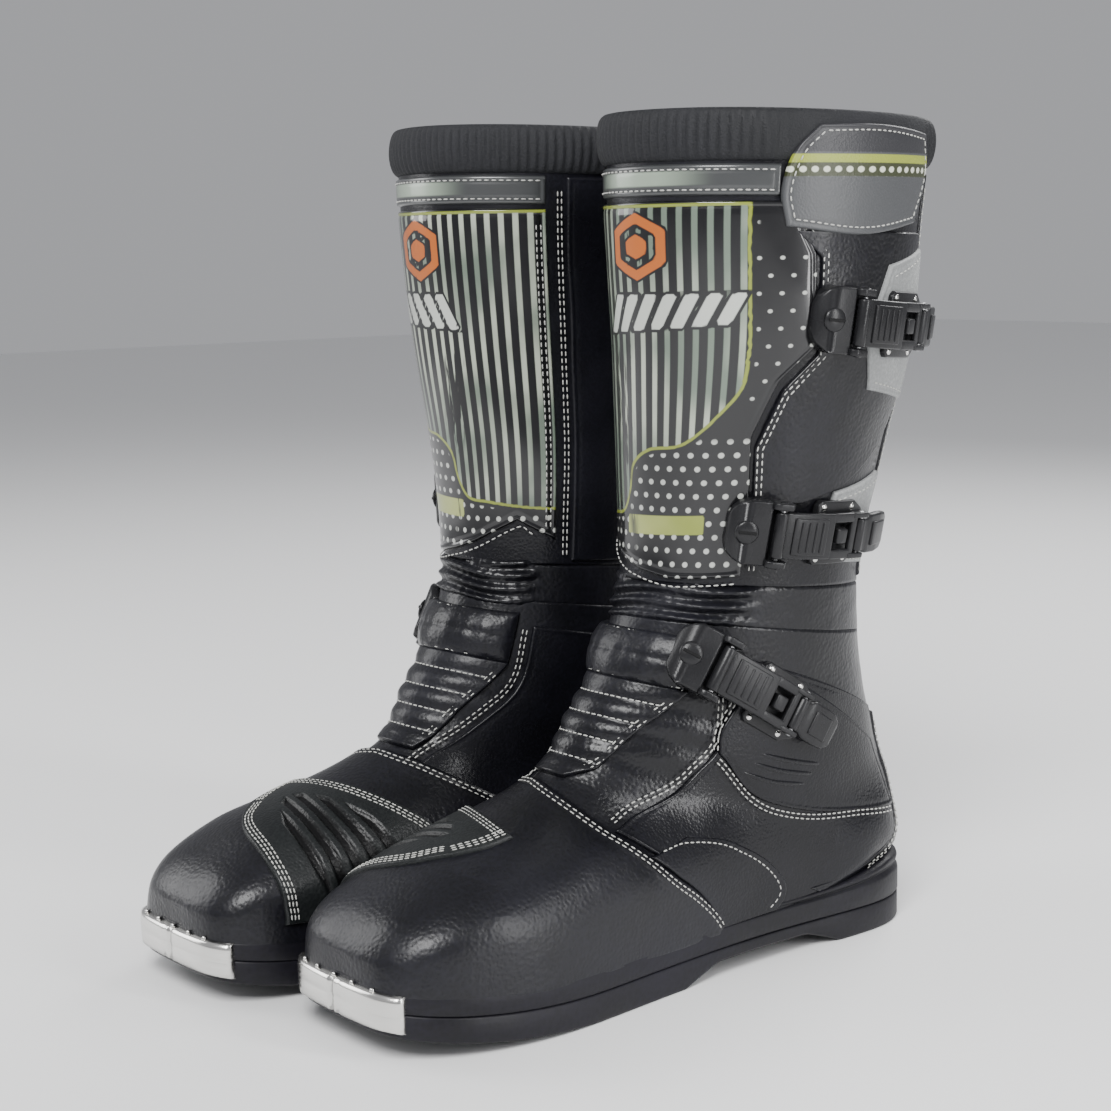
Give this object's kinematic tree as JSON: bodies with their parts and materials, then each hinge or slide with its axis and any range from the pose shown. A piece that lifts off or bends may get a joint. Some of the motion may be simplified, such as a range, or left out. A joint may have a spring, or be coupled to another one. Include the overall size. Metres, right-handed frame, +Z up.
{
  "type": "riding boots",
  "caption": "Pair of tall black leather motocross riding boots with buckle straps, padded rim, ankle flex and metal toe guards.",
  "frame": {"origin": "middle of the pair's box, on the floor that the soles stand on", "axes": "+Z up along the legs, -Y the way the toes point, +X the left boot's side"},
  "size_m": [0.268, 0.3398, 0.3762],
  "materials": {
    "leather_black": "grained",
    "gloss_print": "gloss",
    "padded_fabric": "woven",
    "grey_patch": "matt",
    "lime_band": "printed",
    "sole_rubber": "matt",
    "welt": "matt",
    "nickel": "polished",
    "buckle_plastic": "moulded"
  },
  "bodies": {
    "feet": {"left_outsole": "sole_rubber", "left_midsole": "welt", "left_footbed": "padded_fabric", "left_toe_guard": "nickel", "left_vamp": "leather_black", "left_shift_pad": "leather_black", "left_quarters": "leather_black", "left_ankle_shield": "leather_black", "left_instep_pad": "leather_black", "left_flex_gusset": "padded_fabric", "left_ankle_holder": "buckle_plastic", "left_ankle_receiver": "buckle_plastic", "right_outsole": "sole_rubber", "right_midsole": "welt", "right_footbed": "padded_fabric", "right_toe_guard": "nickel", "right_vamp": "leather_black", "right_shift_pad": "leather_black", "right_quarters": "leather_black", "right_ankle_shield": "leather_black", "right_instep_pad": "leather_black", "right_flex_gusset": "padded_fabric", "right_ankle_holder": "buckle_plastic", "right_ankle_receiver": "buckle_plastic"},
    "left_leg": {"left_shaft": "leather_black", "left_shin_panel": "gloss_print", "left_top_band": "lime_band", "left_collar": "padded_fabric", "left_closure_flap": "leather_black", "left_top_tab": "lime_band", "left_upper_patch": "grey_patch", "left_middle_patch": "grey_patch", "left_upper_holder": "buckle_plastic", "left_upper_receiver": "buckle_plastic", "left_middle_holder": "buckle_plastic", "left_middle_receiver": "buckle_plastic"},
    "left_upper_latch": {"left_upper_strap": "buckle_plastic"},
    "left_upper_clip": {"left_upper_lever": "buckle_plastic"},
    "left_middle_latch": {"left_middle_strap": "buckle_plastic"},
    "left_middle_clip": {"left_middle_lever": "buckle_plastic"},
    "left_ankle_latch": {"left_ankle_strap": "buckle_plastic"},
    "left_ankle_clip": {"left_ankle_lever": "buckle_plastic"},
    "right_leg": {"right_shaft": "leather_black", "right_shin_panel": "gloss_print", "right_top_band": "lime_band", "right_collar": "padded_fabric", "right_closure_flap": "leather_black", "right_top_tab": "lime_band", "right_upper_patch": "grey_patch", "right_middle_patch": "grey_patch", "right_upper_holder": "buckle_plastic", "right_upper_receiver": "buckle_plastic", "right_middle_holder": "buckle_plastic", "right_middle_receiver": "buckle_plastic"},
    "right_upper_latch": {"right_upper_strap": "buckle_plastic"},
    "right_upper_clip": {"right_upper_lever": "buckle_plastic"},
    "right_middle_latch": {"right_middle_strap": "buckle_plastic"},
    "right_middle_clip": {"right_middle_lever": "buckle_plastic"},
    "right_ankle_latch": {"right_ankle_strap": "buckle_plastic"},
    "right_ankle_clip": {"right_ankle_lever": "buckle_plastic"}
  },
  "joints": [
    {"name": "left_ankle_flex", "type": "hinge", "parent": "feet", "child": "left_leg", "pos_m": [0.05405, 0.08892, 0.12], "axis": [1, 0, 0], "range_deg": [-6, 12], "stiffness_Nm_per_rad": 14, "deforming": ["left_flex_gusset"]},
    {"name": "left_upper_strap_swing", "type": "hinge", "parent": "left_leg", "child": "left_upper_latch", "pos_m": [0.12951, 0.07795, 0.28647], "axis": [-0.1027, -0.0986, -0.9898], "range_deg": [0, 45]},
    {"name": "left_upper_lever_swing", "type": "hinge", "parent": "left_upper_latch", "child": "left_upper_clip", "pos_m": [0.12045, 0.12376, 0.28285], "axis": [-0.1027, -0.0986, -0.9898], "range_deg": [0, 105]},
    {"name": "left_middle_strap_swing", "type": "hinge", "parent": "left_leg", "child": "left_middle_latch", "pos_m": [0.10744, 0.05046, 0.19577], "axis": [-0.1649, -0.0778, -0.9832], "range_deg": [0, 45]},
    {"name": "left_middle_lever_swing", "type": "hinge", "parent": "left_middle_latch", "child": "left_middle_clip", "pos_m": [0.10841, 0.09734, 0.1919], "axis": [-0.1649, -0.0778, -0.9832], "range_deg": [0, 105]},
    {"name": "left_ankle_strap_swing", "type": "hinge", "parent": "feet", "child": "left_ankle_latch", "pos_m": [0.09511, 0.02746, 0.13838], "axis": [-0.0932, -0.5174, -0.8507], "range_deg": [0, 45]},
    {"name": "left_ankle_lever_swing", "type": "hinge", "parent": "left_ankle_latch", "child": "left_ankle_clip", "pos_m": [0.10264, 0.06603, 0.1141], "axis": [-0.0932, -0.5174, -0.8507], "range_deg": [0, 105]},
    {"name": "right_ankle_flex", "type": "hinge", "parent": "feet", "child": "right_leg", "pos_m": [-0.05427, 0.06892, 0.12], "axis": [0.9998, 0.0209, 0], "range_deg": [-6, 12], "stiffness_Nm_per_rad": 14, "deforming": ["right_flex_gusset"]},
    {"name": "right_upper_strap_swing", "type": "hinge", "parent": "right_leg", "child": "right_upper_latch", "pos_m": [-0.12949, 0.05637, 0.28647], "axis": [-0.1048, 0.0964, 0.9898], "range_deg": [0, 45]},
    {"name": "right_upper_lever_swing", "type": "hinge", "parent": "right_upper_latch", "child": "right_upper_clip", "pos_m": [-0.12138, 0.10235, 0.28285], "axis": [-0.1048, 0.0964, 0.9898], "range_deg": [0, 105]},
    {"name": "right_middle_strap_swing", "type": "hinge", "parent": "right_leg", "child": "right_middle_latch", "pos_m": [-0.10684, 0.02935, 0.19577], "axis": [-0.1665, 0.0743, 0.9832], "range_deg": [0, 45]},
    {"name": "right_middle_lever_swing", "type": "hinge", "parent": "right_middle_latch", "child": "right_middle_clip", "pos_m": [-0.1088, 0.07619, 0.1919], "axis": [-0.1665, 0.0743, 0.9832], "range_deg": [0, 105]},
    {"name": "right_ankle_strap_swing", "type": "hinge", "parent": "feet", "child": "right_ankle_latch", "pos_m": [-0.09403, 0.00661, 0.13838], "axis": [-0.104, 0.5153, 0.8507], "range_deg": [0, 45]},
    {"name": "right_ankle_lever_swing", "type": "hinge", "parent": "right_ankle_latch", "child": "right_ankle_clip", "pos_m": [-0.10237, 0.04501, 0.1141], "axis": [-0.104, 0.5153, 0.8507], "range_deg": [0, 105]}
  ]
}
